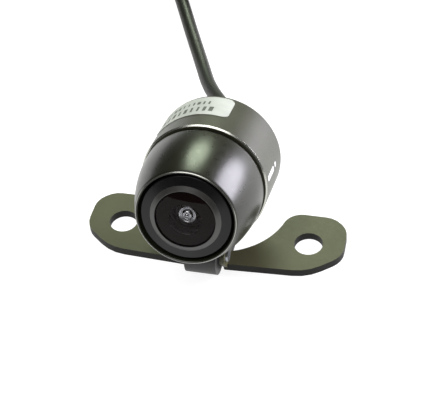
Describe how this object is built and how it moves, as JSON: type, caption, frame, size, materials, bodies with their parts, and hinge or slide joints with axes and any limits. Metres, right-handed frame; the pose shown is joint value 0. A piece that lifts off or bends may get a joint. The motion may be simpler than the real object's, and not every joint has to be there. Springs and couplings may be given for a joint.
{
  "type": "backup camera",
  "caption": "Small barrel-shaped rear-view camera tilting on a low butterfly bracket with two screw holes, with a coiled lead and a round plug.",
  "frame": {"origin": "midway between the two mounting holes, on the underside of the bracket", "axes": "+X along the bracket through both holes, +Z out of the mounting surface, the lens looks towards -Y and 17.5 degrees up at rest"},
  "size_m": [0.0679, 0.1529, 0.0356],
  "materials": {
    "bracket_paint": "satin dark olive-grey paint on die-cast zinc",
    "housing_paint": "satin dark olive-grey paint",
    "shell_paint": "smooth semi-gloss black-olive paint",
    "bezel_plastic": "matte moulded",
    "lens_glass": "coated, polished",
    "filter_glass": "dichroic filter",
    "black_plastic": "matte moulded",
    "seal_rubber": "matte",
    "cable_jacket": "satin PVC",
    "tie_nylon": "satin nylon",
    "steel": "zinc plated",
    "brass": "turned",
    "circuit_board": "solder mask",
    "chip_epoxy": "moulded epoxy",
    "wire_plastic": "PVC insulation",
    "label_film": "paper-faced film"
  },
  "bodies": {
    "bracket": {"mount_plate": "bracket_paint", "pivot_screw": "steel", "pivot_clip": "steel", "friction_washers": "tie_nylon", "camera_cable": "cable_jacket", "cable_coil": "cable_jacket", "cable_tail": "cable_jacket", "coil_tie": "tie_nylon", "cable_plug": "cable_jacket", "plug_insert": "black_plastic", "plug_contacts": "brass"},
    "head": {"rear_housing": "housing_paint", "tilt_foot": "housing_paint", "front_shell": "shell_paint", "front_bezel": "bezel_plastic", "front_lens": "lens_glass", "inner_lenses": "lens_glass", "sensor_glass": "lens_glass", "ir_cut_filter": "filter_glass", "lens_barrel": "black_plastic", "lens_holder": "black_plastic", "lens_spacers": "black_plastic", "aperture_stop": "black_plastic", "board_header": "black_plastic", "wire_socket": "black_plastic", "lens_seal": "seal_rubber", "housing_seal": "seal_rubber", "cable_gland": "seal_rubber", "cable_stub": "cable_jacket", "foot_screws": "steel", "board_screws": "steel", "holder_screws": "steel", "board_spacers": "brass", "sensor_board": "circuit_board", "power_board": "circuit_board", "image_sensor": "chip_epoxy", "video_chips": "chip_epoxy", "power_parts": "chip_epoxy", "inner_wires": "wire_plastic", "wire_plug": "wire_plastic", "serial_label": "label_film"}
  },
  "joints": [
    {"name": "tilt", "type": "hinge", "parent": "bracket", "child": "head", "pos_m": [0, -0.00854, 0.00505], "axis": [1, 0, 0], "range_deg": [0, 40]}
  ]
}
